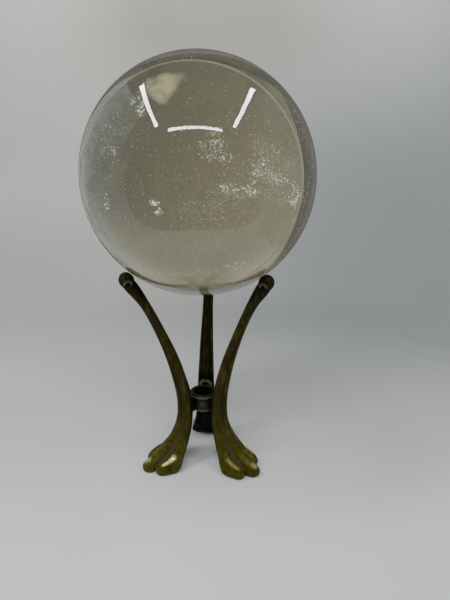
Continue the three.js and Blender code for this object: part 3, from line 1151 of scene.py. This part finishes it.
# Three lamp strips over the stand, in ball radii from the ball's centre: start and end. A row of
# brighter LEDs lies just in front of each, as wide as this and filling this share of their pitch.
STRIPS = {
    "front": ((-2.2, -4.35, 4.0), (2.2, -4.35, 4.0)),
    "left": ((-2.9, -3.6, 4.0), (-2.9, 0.8, 4.7)),
    "right": ((2.9, -3.6, 4.0), (2.9, 0.8, 4.7)),
}
STRIP = {"width": 0.21, "glow": 8}
LEDS = {"count": 18, "nearness": 0.995, "width": 0.2415, "fill": 0.5, "glow": 90}


def on_rig(place):
    """A place on the rig, given in ball radii from the ball's centre before the rig is turned."""
    return in_ball(RIG @ Vector(place))


def strip_mesh(start, end, count, width, fill):
    """A row of flat lamps that face the ball. fill is the share of the pitch that each takes."""
    start, end = Vector(start), Vector(end)
    along = (end - start) / count / 2 * fill
    inward = -((start + end) / 2).normalized()
    across = along.cross(inward).normalized() * width / 2
    points, faces = [], []
    for i in range(count):
        centre = start + (end - start) * (i + 0.5) / count
        faces.append(tuple(len(points) + k for k in range(4)))
        points += [on_rig(centre + x * along + y * across) for x, y in ((-1, -1), (1, -1), (1, 1), (-1, 1))]
    return make_mesh("strip", points, faces, smooth=False)


def add_card(name, mesh, material, seen_in):
    """Adds a lamp or card that shapes one kind of light, glossy or transmission, and nothing else."""
    card = add_stage(name, mesh, material)
    for kind in ("camera", "diffuse", "glossy", "transmission", "volume_scatter", "shadow"):
        setattr(card, f"visible_{kind}", kind == seen_in)


led_glow = lamp_material("led_glow", LEDS["glow"])
strip_glow = lamp_material("strip_glow", STRIP["glow"])
for strip_name, strip_ends in STRIPS.items():
    bar = strip_mesh(*strip_ends, 1, STRIP["width"], 1)
    led_ends = [Vector(place) * LEDS["nearness"] for place in strip_ends]
    leds = strip_mesh(*led_ends, LEDS["count"], LEDS["width"], LEDS["fill"])
    add_card(f"lamp_bar_{strip_name}", bar, strip_glow, "glossy")
    add_card(f"lamp_leds_{strip_name}", leds, led_glow, "glossy")

# Hoops of light behind the ball, seen only through its rim. Their parts are given in degrees:
# around, from the right by way of the top, and off the axis, from straight behind the ball. The
# line is the light box's bright edge, and the shades lie outside it.
HOOP_DISTANCE = 4.0
LINE = {"around": (122, 418), "middle": 37.0, "sideways": 5.0, "twice_round": 0.5, "half_width": 0.9}
LINE_GLOW = {"middle": 0.62, "top": -0.14, "right": -0.10}
SHADE = {"half_turn": 62, "flare": 30, "outer": 76}
SHADES = {"right": (0, 0.17), "left": (180, 0.22), "low": (270, 0.26)}
GAP_EDGES = (39.0, 40.4)
CEILING_EDGES = (40.4, 78)
BAND_STEPS = 49


def band_mesh(pairs):
    """A strip through pairs of places on the rig."""
    points = [on_rig(place) for pair in pairs for place in pair]
    faces = [(2 * i - 2, 2 * i, 2 * i + 1, 2 * i - 1) for i in range(1, len(pairs))]
    return make_mesh("band", points, faces)


def on_hoop(around, off_axis):
    side, off = math.radians(around), math.radians(off_axis)
    direction = Vector((math.sin(off) * math.cos(side), math.cos(off), math.sin(off) * math.sin(side)))
    return direction * HOOP_DISTANCE


def line_middle(around):
    side = math.radians(around)
    return LINE["middle"] + LINE["sideways"] * math.cos(side) + LINE["twice_round"] * math.cos(2 * side)


def line_inner(around):
    return line_middle(around) - LINE["half_width"]


def line_outer(around):
    return line_middle(around) + LINE["half_width"]


def line_glow(around):
    side = math.radians(around)
    return LINE_GLOW["middle"] + LINE_GLOW["top"] * math.sin(side) + LINE_GLOW["right"] * math.cos(side)


def add_hoop(name, around, inner, outer, glow):
    """Adds a part of a hoop. Its edges and its glow are numbers, or functions of around."""

    def row(setting):
        return [setting(angle) if callable(setting) else setting for angle in angles]

    angles = np.linspace(*around, BAND_STEPS)
    edges = zip(angles, row(inner), row(outer))
    mesh = band_mesh([(on_hoop(angle, start), on_hoop(angle, end)) for angle, start, end in edges])
    set_attribute(mesh, "glow", np.repeat(row(glow), 2))
    add_card(name, mesh, lamp_material(name), "transmission")


add_hoop("hoop_line", LINE["around"], line_inner, line_outer, line_glow)
for shade_name, (shade_middle, shade_glow) in SHADES.items():

    def shade_inner(around):
        """Along the line, and bent away from it towards the shade's ends."""
        share = abs(around - shade_middle) / SHADE["half_turn"]
        return line_outer(around) + SHADE["flare"] * share**3

    shade_around = (shade_middle - SHADE["half_turn"], shade_middle + SHADE["half_turn"])
    add_hoop(f"hoop_shade_{shade_name}", shade_around, shade_inner, SHADE["outer"], shade_glow)
add_hoop("hoop_gap", (55, 125), *GAP_EDGES, 0.30)
add_hoop("hoop_ceiling", (52, 128), *CEILING_EDGES, 0.45)

# Cards that only reflections show, in ball radii from the ball's centre: upright ones by their two
# ends (x, y), top and brightness, and a dark oval one round the camera, between half_turn degrees
# to either side.
SIDE_CARDS = {
    "left": ((-3.2, -1.7), (-3.2, 3.8), 4.0, 0.7),
    "right": ((3.2, -1.7), (3.2, 3.8), 4.0, 0.3),
}
BACK_CARD = ((-3.2, 3.8), (3.2, 3.8), 6.0, 0.2)
DARK_CARD = {
    "half_turn": 57, "distance": 3.5, "middle": -0.35, "half_height": 2.25, "power": 3.2, "glow": 0.1,
}


def upright_mesh(start, end, top):
    """A flat card that stands on the floor between two places (x, y)."""
    corners = [(*start, FLOOR), (*end, FLOOR), (*end, top), (*start, top)]
    return make_mesh("card", [on_rig(corner) for corner in corners], [(0, 1, 2, 3)], smooth=False)


def dark_card_ends(angle):
    """The card's lower and upper end at an angle, in degrees, to either side of the camera."""
    card = DARK_CARD
    share = abs(angle) / card["half_turn"]
    reach = card["half_height"] * (1 - share ** card["power"]) ** (1 / card["power"])
    x, y = math.sin(math.radians(angle)), -math.cos(math.radians(angle))
    ends = (max(card["middle"] - reach, FLOOR), card["middle"] + reach)
    return [(card["distance"] * x, card["distance"] * y, z) for z in ends]


for side_name, (*side_card, side_glow) in SIDE_CARDS.items():
    foil = foil_material(f"card_{side_name}", side_glow)
    add_card(f"side_card_{side_name}", upright_mesh(*side_card), foil, "glossy")
*back_card, back_glow = BACK_CARD
add_card("back_card", upright_mesh(*back_card), lamp_material("card_back", back_glow), "glossy")
dark_angles = np.linspace(-DARK_CARD["half_turn"], DARK_CARD["half_turn"], BAND_STEPS)
dark_oval = band_mesh([dark_card_ends(angle) for angle in dark_angles])
add_card("dark_card", dark_oval, lamp_material("card_dark", DARK_CARD["glow"]), "glossy")

# ---------------------------------------------------------------- light and camera

world = bpy.data.worlds.new("studio")
bpy.context.scene.world = world
world.use_nodes = True
world.node_tree.nodes["Background"].inputs["Color"].default_value = (0.94, 0.97, 1.0, 1)
world.node_tree.nodes["Background"].inputs["Strength"].default_value = 0.12


def add_panel(name, place, aim, size, power):
    """A soft panel lamp on the rig, in ball radii, that reflections don't show."""
    data = bpy.data.lights.new(name, "AREA")
    data.shape = "RECTANGLE"
    data.size, data.size_y = (side * BALL_RADIUS for side in size)
    data.energy = power
    panel = bpy.data.objects.new(name, data)
    bpy.context.scene.collection.objects.link(panel)
    panel.location = on_rig(place)
    panel.rotation_euler = (RIG @ (Vector(aim) - Vector(place))).to_track_quat("-Z", "Y").to_euler()
    panel.visible_glossy = False
    panel.visible_transmission = False
    panel.visible_camera = False


add_panel("panel_front", (-0.4, -4.2, 4.2), (0, -1.6, -2.75), (4.4, 0.9), 0.92)
add_panel("panel_left", (-2.9, -1.6, 4.4), (-0.6, -0.4, -2.75), (0.9, 4.4), 1.1)
add_panel("panel_right", (2.9, -1.6, 4.4), (0.6, -0.4, -2.75), (0.9, 4.4), 0.7)
add_panel("panel_wall", (-0.2, 4.4, 6.0), (-0.3, 8.0, 4.2), (7, 2), 1.2)

# The camera's place on the rig, in ball radii from the ball's centre.
CAMERA = {"place": (0.218, -4.021, 0.143), "pitch": -17.0, "roll": -0.2, "lens": 26.88, "sensor": 36.0}

camera_data = bpy.data.cameras.new("camera")
camera_data.lens = CAMERA["lens"]
camera_data.sensor_width = CAMERA["sensor"]
camera_data.clip_start = 0.1 * BALL_RADIUS
camera_data.clip_end = 100 * BALL_RADIUS
camera = bpy.data.objects.new("camera", camera_data)
bpy.context.scene.collection.objects.link(camera)
camera.location = on_rig(CAMERA["place"])
camera.rotation_euler = (
    RIG
    @ Matrix.Rotation(math.radians(90 + CAMERA["pitch"]), 3, "X")
    @ Matrix.Rotation(math.radians(CAMERA["roll"]), 3, "Z")
).to_euler()
bpy.context.scene.camera = camera
